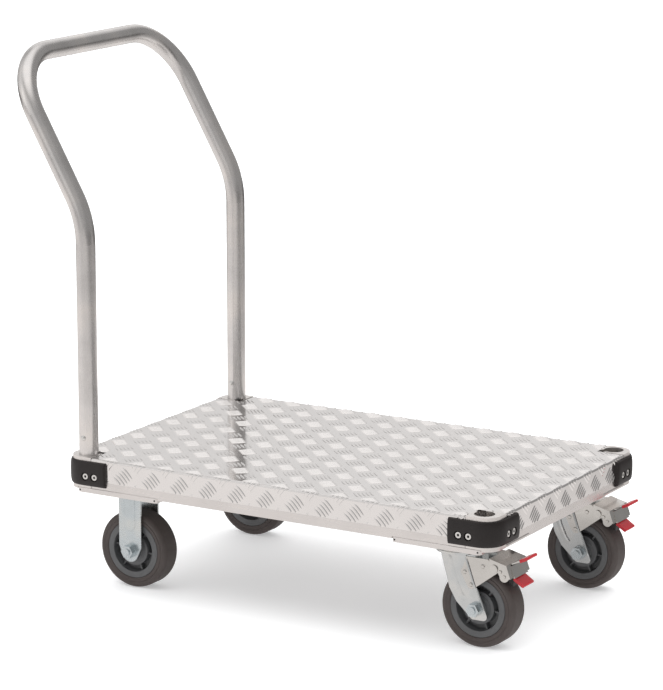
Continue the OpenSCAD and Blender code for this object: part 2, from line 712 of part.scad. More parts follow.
module bracket_outline() {
    polygon(concat(
        arc(brake_rivets[0], 7, 130, 200, 6), arc(brake_rivets[1], 7, 200, 300, 8),
        [[pivot_x - 26, pivot_h - 30]],
        arc([pivot_x, pivot_h], 8.2, -60, 80, 8),
        [[pivot_x - 9, pivot_h + 9.5], [pivot_x - 12, crown_z - 1], [trail - 14, crown_z - 1]]));
}

module brake_bracket(side) at_swivel(side) color(ZINC) {
    difference() {
        union() {
            both_sides() plate_y(leg_out, leg_out + brake_t) bracket_outline();
            translate([crown_r + 2, -leg_out - brake_t, crown_z - 1 - brake_t])
                cube([pivot_x - 12 - crown_r - 2, 2 * (leg_out + brake_t), brake_t]);
        }
        translate([pivot_x, 0, pivot_h]) rod_y(4 + run_clear, -50, 50);
    }
    // pivot pin with round heads
    translate([pivot_x, 0, pivot_h]) {
        rod_y(4, -rocker_out - 1.5, rocker_out + 1.5);
        for (m = [0, 1]) mirror([0, m, 0]) rod_y(6.5, rocker_out + 0.3, rocker_out + 2.3);
    }
    for (p = brake_rivets) both_sides() translate([p[0], leg_out + brake_t - eps, p[1]]) rotate([-90, 0, 0])
        cylinder(r1 = 3.6, r2 = 2.4, h = 1.8);
}

module brake_bracket_left() brake_bracket(LEFT);
module brake_bracket_right() brake_bracket(RIGHT);

// side plate of the rocker, with its lobes
module rocker_outline() {
    translate([pivot_x, pivot_h]) {
        polygon([[-7.6, 13.3], [19.4, 6.4], [25.6, -11], [22, -15], [12, -15], [6, -4], [-7, 0]]);
        circle(r = 8);
        translate([17, -11]) circle(r = 7.5);
    }
}

// cover and outer wall, bent from one sheet
module rocker_hook() translate([pivot_x, pivot_h])
    polygon([[-8, 12], [-8, 14.5], [20.5, 7.5], [27.5, -12.4], [23, -12.4], [18.2, 5.4]]);

module rocker_block() translate([pivot_x, pivot_h])
    polygon([[18.6, 3.5], [20.3, 7.2], [30.5, -13], [18, -13]]);

// outlines along the release lever, from its foot outwards
module on_lever() translate([pivot_x, pivot_h] + lever_base) rotate(lever_slope) children();

// a pedal's outline with a rounded tip
module pedal_outline(from, to) {
    translate([from, -pedal_t / 2]) square([to - from - pedal_t / 2, pedal_t]);
    translate([to - pedal_t / 2, 0]) circle(r = pedal_t / 2);
}

module brake_rocker(side) at_swivel(side) color(ZINC) {
    difference() {
        union() {
            both_sides() plate_y(rocker_in, rocker_out) rocker_outline();
            plate_y(-rocker_out, rocker_out) rocker_hook();
            plate_y(-block_half, block_half) rocker_block();
            plate_y(-pedal_w / 2 + 2, pedal_w / 2 - 2) on_lever()
                translate([0, -lever_t / 2]) square([lever_l, lever_t]);
        }
        translate([pivot_x, 0, pivot_h]) rod_y(4 + run_clear, -50, 50);
    }
    // two small pins beside the pivot
    for (p = [[pivot_x + 11, pivot_h - 3], [pivot_x + 17.5, pivot_h - 10]]) both_sides()
        translate([p[0], rocker_out, p[1]]) rotate([-90, 0, 0]) cylinder(r1 = 3, r2 = 2.2, h = 1.8);
}

module brake_rocker_left() brake_rocker(LEFT);
module brake_rocker_right() brake_rocker(RIGHT);

// rubber shoe under the rocker: its curved face follows the tyre
module brake_shoe(side) at_swivel(side) color(RUBBER) plate_y(-14, 14) difference() {
    polygon([[pivot_x + 12, pivot_h - 13], [pivot_x + 24.4, pivot_h - 13],
        [pivot_x + 23.2, pivot_h - 29], [pivot_x + 8, pivot_h - 24]]);
    translate([trail, axle_z]) circle(r = tyre_r + shoe_gap);
}

module brake_shoe_left() brake_shoe(LEFT);
module brake_shoe_right() brake_shoe(RIGHT);

// release pedal on the lever above, locking pedal below the block
module brake_pedals(side) at_swivel(side) color(RED) {
    difference() {
        plate_y(-pedal_w / 2, pedal_w / 2) on_lever() pedal_outline(lever_l - 6, pedal_end);
        plate_y(-pedal_w / 2 + 2 - run_clear, pedal_w / 2 - 2 + run_clear) on_lever()
            translate([0, -lever_t / 2 - run_clear]) square([lever_l + run_clear, lever_t + 2 * run_clear]);
    }
    plate_y(-pedal_w / 2, pedal_w / 2) translate([pivot_x + 25.6, pivot_h - 15.6]) rotate(-33)
        pedal_outline(0, 20);
}

module brake_pedals_left() brake_pedals(LEFT);
module brake_pedals_right() brake_pedals(RIGHT);

deck_plate();
side_rail_left();
side_rail_right();
end_rail_front();
end_rail_rear();
cross_member_front();
cross_member_rear();
deck_stiffeners();
corner_casting_front_left();
corner_casting_front_right();
corner_casting_rear_left();
corner_casting_rear_right();
bumper_front_left();
bumper_front_right();
bumper_rear_left();
bumper_rear_right();
bumper_screws();
mounting_pad_front_left();
mounting_pad_front_right();
mounting_pad_rear_left();
mounting_pad_rear_right();
caster_bolts();
handle_tube();
handle_buttons();
handle_end_plugs();
rigid_fork_left();
rigid_fork_right();
rigid_axle_bolts();
rigid_axle_tubes();
wheel_core_rear_left();
wheel_core_rear_right();
wheel_core_front_left();
wheel_core_front_right();
tyre_rear_left();
tyre_rear_right();
tyre_front_left();
tyre_front_right();
wheel_bearing_rear_left();
wheel_bearing_rear_right();
wheel_bearing_front_left();
wheel_bearing_front_right();
swivel_plate_left();
swivel_plate_right();
swivel_balls();
swivel_kingpins();
swivel_fork_left();
swivel_fork_right();
swivel_axle_left();
swivel_axle_right();
brake_bracket_left();
brake_bracket_right();
brake_rocker_left();
brake_rocker_right();
brake_shoe_left();
brake_shoe_right();
brake_pedals_left();
brake_pedals_right();
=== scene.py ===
"""Looks of the flatbed platform truck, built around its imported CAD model. Metres, +Z up."""
import json
import math

import bmesh
import bpy
from mathutils import Matrix, Vector

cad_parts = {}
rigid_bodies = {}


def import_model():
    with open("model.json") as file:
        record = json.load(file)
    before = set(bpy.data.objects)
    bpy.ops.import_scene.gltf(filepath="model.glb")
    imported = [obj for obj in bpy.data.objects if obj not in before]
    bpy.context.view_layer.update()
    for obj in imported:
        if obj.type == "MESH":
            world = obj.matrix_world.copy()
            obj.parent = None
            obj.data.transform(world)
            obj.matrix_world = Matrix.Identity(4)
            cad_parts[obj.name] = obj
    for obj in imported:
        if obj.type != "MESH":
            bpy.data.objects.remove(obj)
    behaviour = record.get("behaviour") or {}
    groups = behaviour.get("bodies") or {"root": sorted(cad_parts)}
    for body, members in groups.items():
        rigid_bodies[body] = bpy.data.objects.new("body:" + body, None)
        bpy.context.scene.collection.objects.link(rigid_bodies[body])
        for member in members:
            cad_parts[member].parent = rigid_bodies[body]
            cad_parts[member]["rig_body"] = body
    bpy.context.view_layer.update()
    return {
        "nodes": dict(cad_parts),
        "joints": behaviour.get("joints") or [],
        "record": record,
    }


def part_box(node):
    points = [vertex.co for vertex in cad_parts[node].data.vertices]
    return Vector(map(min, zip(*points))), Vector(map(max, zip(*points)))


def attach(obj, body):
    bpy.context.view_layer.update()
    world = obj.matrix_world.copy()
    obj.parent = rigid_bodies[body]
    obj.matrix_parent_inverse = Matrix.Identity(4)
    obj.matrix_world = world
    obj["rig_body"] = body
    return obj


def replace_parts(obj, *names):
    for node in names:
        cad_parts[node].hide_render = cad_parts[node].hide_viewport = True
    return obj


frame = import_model()

MM = 0.001
WELD = 1e-6                       # below this, two points or a length of nothing are the same
SIDES = {"left": 1, "right": -1}
ENDS = {"front": 1, "rear": -1}


def lo(node):
    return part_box(node)[0]


def hi(node):
    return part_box(node)[1]


def middle(node):
    return (lo(node) + hi(node)) / 2


# ---- sizes read from the frame ----

DECK_LO, DECK_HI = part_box("deck_plate")
DECK_C = (DECK_LO + DECK_HI) / 2
DECK_L = DECK_HI.x - DECK_LO.x
DECK_W = DECK_HI.y - DECK_LO.y
DECK_TOP = DECK_HI.z
SHIFT_X = DECK_C.x
SKIRT_Z = lo("side_rail_left").z
BAND_TOP = DECK_LO.z
JOINTS = {j["name"]: j for j in frame["joints"]}

# ---- materials ----


def node_tree(name):
    mat = bpy.data.materials.new(name)
    mat.use_nodes = True
    tree = mat.node_tree
    bsdf = tree.nodes["Principled BSDF"]
    return mat, tree, bsdf


def add(tree, kind, **settings):
    n = tree.nodes.new(kind)
    for key, value in settings.items():
        setattr(n, key, value)
    return n


def coords(tree, scale=(1, 1, 1)):
    """Object coordinates in metres, stretched by scale."""
    tc = add(tree, "ShaderNodeTexCoord")
    mp = add(tree, "ShaderNodeMapping")
    mp.inputs["Scale"].default_value = scale
    tree.links.new(tc.outputs["Object"], mp.inputs["Vector"])
    return mp.outputs["Vector"]


def noise(tree, vector, scale, detail=3.0, rough=0.55):
    n = add(tree, "ShaderNodeTexNoise")
    n.inputs["Scale"].default_value = scale
    n.inputs["Detail"].default_value = detail
    n.inputs["Roughness"].default_value = rough
    tree.links.new(vector, n.inputs["Vector"])
    return n.outputs["Fac"]


def span(tree, value, low, high):
    """Maps a noise, which seldom leaves 0.3..0.7, to low..high."""
    n = add(tree, "ShaderNodeMapRange")
    n.inputs["From Min"].default_value = 0.3
    n.inputs["From Max"].default_value = 0.7
    n.inputs["To Min"].default_value = low
    n.inputs["To Max"].default_value = high
    tree.links.new(value, n.inputs["Value"])
    return n.outputs["Result"]


def ramp(tree, value, stops):
    n = add(tree, "ShaderNodeValToRGB")
    elements = n.color_ramp.elements
    while len(elements) < len(stops):
        elements.new(0.5)
    for e, (pos, colour) in zip(elements, stops):
        e.position = pos
        e.color = (*colour, 1)
    tree.links.new(value, n.inputs["Fac"])
    return n.outputs["Color"]


def bump(tree, bsdf, height, distance):
    n = add(tree, "ShaderNodeBump")
    n.inputs["Strength"].default_value = 1.0
    n.inputs["Distance"].default_value = distance
    tree.links.new(height, n.inputs["Height"])
    tree.links.new(n.outputs["Normal"], bsdf.inputs["Normal"])


def shade(rgb, k):
    return tuple(min(1.0, c * k) for c in rgb)


def metal(name, colour, rough, grain=(1, 1, 1), grain_scale=900, depth=0.02 * MM, cloud=0.06,
          rough_swing=0.08, tint=None):
    """Metal with cloudy colour, uneven gloss and a fine grain.

    grain stretches the pattern along an axis, and tint is the colour of the pale clouds.
    """
    mat, tree, bsdf = node_tree(name)
    bsdf.inputs["Metallic"].default_value = 1.0
    wide = noise(tree, coords(tree), 14, 4)
    stops = [(0.3, shade(colour, 1 - cloud)), (0.52, colour),
             (0.75, shade(tint or colour, 1 + cloud * 0.6))]
    tree.links.new(ramp(tree, wide, stops), bsdf.inputs["Base Color"])
    fine = noise(tree, coords(tree, grain), grain_scale, 2, 0.5)
    gloss = span(tree, fine, rough - rough_swing, rough + rough_swing)
    tree.links.new(gloss, bsdf.inputs["Roughness"])
    bump(tree, bsdf, fine, depth)
    return mat


def plastic(name, colour, rough, grain_scale=1500, depth=0.03 * MM, coat=0.0, cloud=0.1):
    """Plastic or rubber with faint clouds and a fine moulded grain."""
    mat, tree, bsdf = node_tree(name)
    wide = noise(tree, coords(tree), 40, 4)
    stops = [(0.3, shade(colour, 1 - cloud)), (0.55, colour), (0.8, shade(colour, 1 + cloud))]
    tree.links.new(ramp(tree, wide, stops), bsdf.inputs["Base Color"])
    fine = noise(tree, coords(tree), grain_scale, 3)
    tree.links.new(span(tree, fine, rough - 0.06, rough + 0.06), bsdf.inputs["Roughness"])
    bump(tree, bsdf, fine, depth)
    if coat:
        bsdf.inputs["Coat Weight"].default_value = coat
        bsdf.inputs["Coat Roughness"].default_value = 0.15
    return mat


MATERIALS = {
    "tread_plate": metal("tread_plate", (0.87, 0.85, 0.84), 0.12, (1, 0.12, 1), 700, 0.004 * MM,
                         cloud=0.03, rough_swing=0.03),
    "sheet_aluminium": metal("sheet_aluminium", (0.80, 0.77, 0.755), 0.30, (0.05, 1, 1), 500,
                             0.01 * MM, rough_swing=0.05),
    "cast_aluminium": metal("cast_aluminium", (0.84, 0.81, 0.79), 0.34, (1, 1, 1), 1400, 0.06 * MM),
    "handle_aluminium": metal("handle_aluminium", (0.80, 0.78, 0.77), 0.26, (1, 1, 0.08), 400,
                              0.003 * MM, cloud=0.13, rough_swing=0.03, tint=(0.84, 0.80, 0.77)),
    "bumper_rubber": plastic("bumper_rubber", (0.0085, 0.0048, 0.0045), 0.48, 900),
    "black_plastic": plastic("black_plastic", (0.012, 0.012, 0.012), 0.5),
    "grey_tyre": plastic("grey_tyre", (0.064, 0.050, 0.046), 0.66, 1200, 0.04 * MM),
    "rim_plastic": plastic("rim_plastic", (0.095, 0.097, 0.100), 0.48),
    "zinc_steel": metal("zinc_steel", (0.60, 0.655, 0.68), 0.27, depth=0.001 * MM, cloud=0.16,
                        rough_swing=0.04, tint=(0.70, 0.69, 0.65)),
    "bright_steel": metal("bright_steel", (0.78, 0.77, 0.75), 0.26),
    "swivel_zinc": metal("swivel_zinc", (0.62, 0.64, 0.645), 0.20, depth=0.001 * MM, cloud=0.15,
                         rough_swing=0.03, tint=(0.70, 0.68, 0.65)),
    "brake_zinc": metal("brake_zinc", (0.66, 0.645, 0.62), 0.17, depth=0.004 * MM, cloud=0.10,
                        rough_swing=0.03, tint=(0.70, 0.68, 0.65)),
    "red_plastic": plastic("red_plastic", (0.46, 0.002, 0.012), 0.32, coat=0.3, cloud=0.06),
}

SLOT_OF = {s["node"]: s["material_slot"] for s in frame["record"]["subparts"]}

# nodes whose zinc looks unlike their slot's
LOOK_OF = {f"brake_{part}_{side}": "brake_zinc" for part in ("bracket", "rocker") for side in SIDES}
LOOK_OF.update({f"swivel_fork_{side}": "swivel_zinc" for side in SIDES})

# ---- making pieces ----


def smooth_by_angle(mesh, degrees):
    mesh.polygons.foreach_set("use_smooth", [True] * len(mesh.polygons))
    mesh.set_sharp_from_angle(angle=math.radians(degrees))


def new_object(name, bm):
    """Links a new object made from a bmesh, and frees the bmesh."""
    mesh = bpy.data.meshes.new(name)
    bm.to_mesh(mesh)
    bm.free()
    obj = bpy.data.objects.new(name, mesh)
    bpy.context.scene.collection.objects.link(obj)
    return obj


def piece(name, bm, body, slot, degrees=32, look=None):
    """Turns a bmesh into a piece that rides on a body. look overrides the slot's material."""
    bmesh.ops.recalc_face_normals(bm, faces=bm.faces)
    obj = new_object(name, bm)
    obj.data.materials.append(MATERIALS[look or slot])
    smooth_by_angle(obj.data, degrees)
    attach(obj, body)
    return obj


def body_of(node):
    return frame["nodes"][node]["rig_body"]


def softened(node, width, segments):
    """A copy of a CAD node with its sharp edges rounded; it stands for the node."""
    bm = bmesh.new()
    bm.from_mesh(frame["nodes"][node].data)
    bmesh.ops.remove_doubles(bm, verts=bm.verts, dist=WELD)
    bmesh.ops.dissolve_limit(bm, angle_limit=math.radians(0.5), verts=bm.verts, edges=bm.edges)
    obj = piece(node + "_soft", bm, body_of(node), SLOT_OF[node], look=LOOK_OF.get(node))
    mod = obj.modifiers.new("edges", "BEVEL")
    mod.width = width
    mod.segments = segments
    mod.limit_method = "ANGLE"
    mod.angle_limit = math.radians(40)
    mod.harden_normals = False
    mod.use_clamp_overlap = True
    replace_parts(obj, node)


# ---- tread bars: one folded sheet, so the pattern runs over its edges ----

PITCH = 52.5 * MM                 # between groups of the same direction
GROUP_BARS = range(-2, 3)         # five bars in a group
BAR_STEP = 6.19 * MM
BAR_LEN = 26 * MM
BAR_W = 4.4 * MM
BAR_H = 1.3 * MM
BAR_SINK = 0.05 * MM              # how far a bar's foot lies in the sheet
BAR_ARCH = ((-1, 0), (-0.66, 0.55), (-0.25, 0.95), (0.25, 0.95), (0.66, 0.55), (1, 0))
FIRST = (-13 * MM, -57 * MM)      # one group's centre, from the deck's centre
SKIRT_REACH = 60 * MM             # groups this far past the deck's edge still touch the skirts
FOLD_R = 3.5 * MM
NOTCH = (47 * MM, 43 * MM)


def fold_axis(t, half):
    """Where a distance t from the centre line lies across a fold: (offset, drop, tilt)."""
    s = 1 if t >= 0 else -1
    t = abs(t)
    flat = half - FOLD_R
    if t <= flat:
        return s * t, 0.0, 0.0
    arc = FOLD_R * math.pi / 2
    if t <= flat + arc:
        a = (t - flat) / FOLD_R
        return s * (flat + FOLD_R * math.sin(a)), FOLD_R * (1 - math.cos(a)), s * a
    return s * half, FOLD_R + t - flat - arc, s * math.pi / 2


def fold_point(u, v, h):
    """Point of the folded sheet at unfolded place (u, v), h above it. None past a corner."""
    x, drop_x, tilt_x = fold_axis(u, DECK_L / 2)
    y, drop_y, tilt_y = fold_axis(v, DECK_W / 2)
    if drop_x > WELD and drop_y > WELD:
        return None
    normal = Vector((math.sin(tilt_x), math.sin(tilt_y), math.cos(tilt_x) * math.cos(tilt_y)))
    return Vector((SHIFT_X + x, y, DECK_TOP - drop_x - drop_y)) + normal.normalized() * h


def sheet_reaches(u, v):
    """True where the tread sheet has metal, clear of its corner notches and lower edge."""
    edge = DECK_TOP - BAND_TOP - FOLD_R + FOLD_R * math.pi / 2 - FOLD_R
    over_u = abs(u) - DECK_L / 2
    over_v = abs(v) - DECK_W / 2
    in_notch = over_u > -NOTCH[0] and over_v > -NOTCH[1]
    return max(over_u, over_v) <= edge and not in_notch


def tread_bar(bm, cu, cv, angle, stations=9):
    """One lens-shaped bar. Its cross-section is a low arch, and it is folded with the sheet."""
    along = Vector((math.cos(angle), math.sin(angle)))
    across = Vector((-along.y, along.x))
    rows = []
    for i in range(stations + 1):
        s = -1 + 2 * i / stations
        half_w = BAR_W / 2 * (1 - s * s) ** 0.6
        row = []
        for w, h in BAR_ARCH:
            u = cu + along.x * s * BAR_LEN / 2 + across.x * w * half_w
            v = cv + along.y * s * BAR_LEN / 2 + across.y * w * half_w
            rise = BAR_H * h * (1 - s * s) ** 0.35 - BAR_SINK
            p = fold_point(u, v, rise) if sheet_reaches(u, v) else None
            row.append(bm.verts.new(p) if p is not None else None)
        rows.append(row)
    for a, b in zip(rows, rows[1:]):
        for k in range(len(a) - 1):
            corners = [a[k], a[k + 1], b[k + 1], b[k]]
            if all(corners):
                bm.faces.new(corners)


def tread_bars():
    """Groups of five bars, in two directions by turns, over the deck and its skirts."""
    bm = bmesh.new()
    reach = int(DECK_L / PITCH / 2) + 3
    for i in range(-reach, reach + 1):
        for j in range(-reach, reach + 1):
            for half, angle in ((0, -math.pi / 4), (0.5, math.pi / 4)):
                u = FIRST[0] + (i + half) * PITCH
                v = FIRST[1] + (j + half) * PITCH
                if abs(u) >= DECK_L / 2 + SKIRT_REACH or abs(v) >= DECK_W / 2 + SKIRT_REACH:
                    continue
                across = Vector((-math.sin(angle), math.cos(angle)))
                for k in GROUP_BARS:
                    tread_bar(bm, u + across.x * k * BAR_STEP, v + across.y * k * BAR_STEP, angle)
    loose = [v for v in bm.verts if not v.link_faces]
    bmesh.ops.delete(bm, geom=loose, context="VERTS")
    piece("tread_bars", bm, "chassis", "tread_plate", 60)


tread_bars()

# ---- softened copies of the CAD pieces ----

# width of each rounded edge in millimetres, by how the node's name starts
SOFTENED = {
    "side_rail": 0.6, "end_rail": 0.6, "corner_casting": 0.9, "bumper_screws": 0.25,
    "mounting_pad": 0.8, "caster_bolts": 0.4, "rigid_fork": 0.6, "rigid_axle_bolts": 0.4,
    "swivel_fork": 0.6, "swivel_plate": 0.5, "swivel_axle": 0.4,
    "brake_bracket": 0.4, "brake_rocker": 0.4, "brake_pedals": 0.9, "brake_shoe": 0.5,
}
WIDE_EDGE = 0.7                   # an edge wider than this gets a third segment

for node in frame["nodes"]:
    for start, width in SOFTENED.items():
        if node.startswith(start):
            softened(node, width * MM, 3 if width > WIDE_EDGE else 2)

# ---- bumpers: one moulded section led round the corner, then counterbored ----

BUMPER_R = 40 * MM
CASTING_R = 26 * MM
SCREW_INSETS = (39 * MM, 56 * MM)  # of the two screws on each face, from the deck's corner
SCREW_DROP = 24 * MM              # below the bumper's top
SCREW_SEAT = 2 * MM               # the screw heads' seat, outside the deck's faces
SCREW_HEAD_H = 1.9 * MM
COUNTERBORE_R = 6.6 * MM
END_STATIONS = (0, 0.6 * MM, 1.6 * MM, 3.2 * MM, 12 * MM, 24 * MM)
END_SHARES = (0.55, 0.80, 0.93, 1.0)  # of the full thickness, at the stations from each end


def bumper_path(reach, thick, count=14):
    """Pairs of inner and outer points round a corner whose deck faces meet at the origin.

    The deck lies in the third quadrant.
    """
    pairs = []
    for t in END_STATIONS:
        pairs.append((Vector((-reach + t, 0)), Vector((-reach + t, thick))))
    for i in range(count + 1):
        a = math.pi / 2 * (1 - i / count)
        spin = Vector((math.cos(a), math.sin(a)))
        pairs.append((Vector((-CASTING_R, -CASTING_R)) + spin * CASTING_R,
                      Vector((thick - BUMPER_R, thick - BUMPER_R)) + spin * BUMPER_R))
    for t in reversed(END_STATIONS):
        pairs.append((Vector((0, -reach + t)), Vector((thick, -reach + t))))
    return pairs


def bumper_section(height, count=20):
    """(share of the thickness, height) over the section's outer side: a flattened oval."""
    out = []
    for i in range(count + 1):
        a = math.pi * i / count
        z = -math.copysign(abs(math.cos(a)) ** 0.80, math.cos(a))
        out.append((max(0.08, math.sin(a) ** 0.55), height / 2 * (1 + z)))
    return out


def screw_places(end, side, out):
    """(place, outward direction) of a corner's four screws, out from the deck's faces."""
    e, s = ENDS[end], SIDES[side]
    z = hi(f"bumper_{end}_{side}").z - SCREW_DROP
    places = []
    for inset in SCREW_INSETS:
        places.append((Vector((DECK_C.x + e * (DECK_L / 2 - inset), s * (DECK_W / 2 + out), z)),
                       Vector((0, s, 0))))
        places.append((Vector((DECK_C.x + e * (DECK_L / 2 + out), s * (DECK_W / 2 - inset), z)),
                       Vector((e, 0, 0))))
    return places


def counterbored(obj, end, side, thick):
    """Cuts a bumper's counterbores, and leaves the cut mesh on it."""
    cut = bmesh.new()
    for place, out in screw_places(end, side, SCREW_SEAT + thick):
        turn = Matrix.Rotation(math.pi / 2, 4, "X" if out.y else "Y")
        bmesh.ops.create_cone(cut, cap_ends=True, segments=32, radius1=COUNTERBORE_R,
                              radius2=COUNTERBORE_R, depth=2 * thick,
                              matrix=Matrix.Translation(place) @ turn)
    cutter = new_object("cutter", cut)
    mod = obj.modifiers.new("counterbores", "BOOLEAN")
    mod.operation = "DIFFERENCE"
    mod.object = cutter
    mod.solver = "EXACT"
    bpy.context.view_layer.update()
    evaluated = obj.evaluated_get(bpy.context.evaluated_depsgraph_get())
    shaped = bpy.data.meshes.new_from_object(evaluated)
    obj.modifiers.clear()
    obj.data = shaped
    smooth_by_angle(shaped, 50)
    bpy.data.objects.remove(cutter)


def bumper(end, side):
    e, s = ENDS[end], SIDES[side]
    node = f"bumper_{end}_{side}"
    low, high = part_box(node)
    corner = Vector((DECK_C.x + e * DECK_L / 2, s * DECK_W / 2))
    outermost, innermost = (high.x, low.x) if e > 0 else (low.x, high.x)
    thick = abs(outermost - corner.x)
    path = bumper_path(abs(innermost - corner.x), thick)
    section = bumper_section(high.z - low.z)
    bm = bmesh.new()
    rings = []
    for i, (inner, outer) in enumerate(path):
        from_end = min(i, len(path) - 1 - i)
        share = END_SHARES[min(from_end, len(END_SHARES) - 1)]
        ring = []
        for f, z in section:
            p = inner.lerp(outer, f * share)
            ring.append(bm.verts.new((corner.x + e * p.x, corner.y + s * p.y, low.z + z)))
        for z in (section[-1][1], section[0][1]):
            ring.append(bm.verts.new((corner.x + e * inner.x, corner.y + s * inner.y, low.z + z)))
        rings.append(ring)
    for a, b in zip(rings, rings[1:]):
        for k in range(len(a)):
            j = (k + 1) % len(a)
            bm.faces.new((a[k], a[j], b[j], b[k]))
    bm.faces.new(rings[0])
    bm.faces.new(list(reversed(rings[-1])))
    obj = piece(node + "_moulded", bm, "chassis", "bumper_rubber", 50)
    counterbored(obj, end, side, thick)
    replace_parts(obj, node)


for end in ENDS:
    for side in SIDES:
        bumper(end, side)

# ---- wheels ----


def lathe(bm, centre, profile, segments):
    """Turns a closed profile of (radius, y) in millimetres about the wheel's axle."""
    rings = []
    for k in range(segments):
        a = 2 * math.pi * k / segments
        rings.append([bm.verts.new(centre + Vector((r * math.cos(a), y, r * math.sin(a))) * MM)
                      for r, y in profile])
    for k in range(segments):
        a, b = rings[k], rings[(k + 1) % segments]
        for i in range(len(profile)):
            j = (i + 1) % len(profile)
            bm.faces.new((a[i], a[j], b[j], b[i]))


def both_faces(half):
    """Closes a half profile, given from the outside inwards, by its mirror image."""
    return half + [(r, -y) for r, y in reversed(half)]


def rounded(a, b, c, radius, steps=4):
    """Points that round the corner b between a and c."""
    a, b, c = Vector(a), Vector(b), Vector(c)
    p, q = b + (a - b).normalized() * radius, b + (c - b).normalized() * radius
    shares = [i / steps for i in range(steps + 1)]
    return [tuple((1 - t) ** 2 * p + 2 * t * (1 - t) * b + t * t * q) for t in shares]


def tyre_profile(radius, half):
    """Half width and radius come from the node. The wall has the tyre's bead line and its seat."""
    shoulder = [(radius - 8 + 8 * math.cos(t), half - 8 + 8 * math.sin(t))
                for t in (math.radians(d) for d in (0, 12, 24, 36, 48, 60, 72, 82))]
    crown = [(radius - 0.05, 4), (radius - 0.15, half - 11)]
    wall = [(54.6, half - 0.35), (53.9, half - 0.6), (53.3, half - 0.85), (52.8, half - 0.6),
            (52.4, half - 0.05), (51.6, half - 0.1), (48.2, half - 0.6), (47.3, half - 1.0),
            (46.6, half - 1.8), (46.45, half - 3.2)]
    return both_faces(crown + shoulder + wall)


def rim_profile():
    """From the rim's outer ring over the dished web to the hub's end."""
    face = 18.8
    half = [(46.5, face - 1.6)]
    half += rounded((46.5, face - 2), (46.2, face), (40, face), 0.8)
    half += rounded((40, face), (36.3, face), (36.0, 4), 0.9)
    half += rounded((36.0, 14), (35.2, 4.2), (28, 4.0), 2.4)
    half += rounded((30, 4.0), (26.6, 4.2), (26.2, 15), 1.2)
    half += rounded((26.2, 10), (26.0, 15.8), (22, 15.9), 0.9)
    half += [(20.6, 15.9), (20.2, 16.5), (16.6, 16.7)]
    half += rounded((16.6, 16.7), (15.7, 16.9), (15.5, 20), 0.5)
    half += rounded((15.5, 19), (15.4, 21.9), (13, 21.95), 0.7)
    half += [(11.5, 21.9), (11.1, 21.4)]
    return both_faces(half)


RIB_COUNT = 6
RIB_TURN = 8                      # degrees from the wheel's +X to its first rib
RIB_ENDS = (25.2, 36.6)           # radii, in millimetres as in the profiles
RIB_SECTION = ((-1.9, 3.8), (-1.3, 12.2), (1.3, 12.2), (1.9, 3.8))
LINE_CORNERS = ((37.4, -1), (37.4, 1), (44.8, 1), (44.8, -1))
LINE_OFFSET = 3.4                 # of a mould line from its rib's middle
LINE_TOP = (0.3, 18.86)           # half width and height, on the ring's face
LINE_FOOT = (0.5, 18.6)


def rim_ribs(bm, centre):
    """Radial ribs between hub disc and ring, with fine mould lines on the ring's face."""
    for i in range(RIB_COUNT):
        turn = Matrix.Rotation(math.radians(RIB_TURN + 360 / RIB_COUNT * i), 3, "Y")
        for side in (-1, 1):
            def place(r, y, w):
                return bm.verts.new(centre + turn @ Vector((r, side * y, w)) * MM)

            corners = [place(r, y, w) for r in RIB_ENDS for w, y in RIB_SECTION]
            for k in range(3):
                bm.faces.new((corners[k], corners[k + 1], corners[k + 5], corners[k + 4]))
            for offset in (-LINE_OFFSET, LINE_OFFSET):
                top, low = ([place(r, y, offset + edge * half) for r, edge in LINE_CORNERS]
                            for half, y in (LINE_TOP, LINE_FOOT))
                bm.faces.new(top)
                for k in range(4):
                    bm.faces.new((top[k], top[(k + 1) % 4], low[(k + 1) % 4], low[k]))


def wheel(label):
    low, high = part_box("tyre_" + label)
    centre = (low + high) / 2
    size = (high - low) / MM
    bm = bmesh.new()
    lathe(bm, centre, tyre_profile(size.z / 2, size.y / 2), segments=128)
    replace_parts(piece("tyre_turned_" + label, bm, "wheel_" + label, "grey_tyre", 35),
                "tyre_" + label)
    bm = bmesh.new()
    lathe(bm, centre, rim_profile(), segments=96)
    rim_ribs(bm, centre)
    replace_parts(piece("rim_turned_" + label, bm, "wheel_" + label, "rim_plastic", 30),
                "wheel_core_" + label)


for end in ENDS:
    for side in SIDES:
        wheel(f"{end}_{side}")

# ---- small things the CAD model leaves plain ----


RIDGE_ARCH = ((-1, -0.05), (-0.75, 0.3), (-0.4, 0.85), (0, 1), (0.4, 0.85), (0.75, 0.3), (1, -0.05))
RIDGE_TIP = 0.35                  # a ridge's width at its ends, as a share of its full width


def ridge(bm, points, out, width, height):
    """A low rounded ridge along points on a surface that faces out. Its ends run out to nothing."""
    points = [Vector(p) for p in points]
    last = len(points) - 1
    rows = []
    for i, p in enumerate(points):
        along = (points[min(i + 1, last)] - points[max(i - 1, 0)]).normalized()
        across = along.cross(out).normalized()
        grow = 0.0 if i in (0, last) else 1.0
        half = width / 2 * (RIDGE_TIP + (1 - RIDGE_TIP) * grow)
        rows.append([bm.verts.new(p + across * w * half + out * h * height * grow)
                     for w, h in RIDGE_ARCH])
    for a, b in zip(rows, rows[1:]):
        for k in range(len(a) - 1):
            bm.faces.new((a[k], a[k + 1], b[k + 1], b[k]))


def along_line(a, b, count):
    return [Vector(a).lerp(Vector(b), i / count) for i in range(count + 1)]


def along_path(places, count):
    """Points along a broken line, count to each stretch."""
    points = [p for a, b in zip(places, places[1:]) for p in along_line(a, b, count)[:-1]]
    return points + [places[-1]]


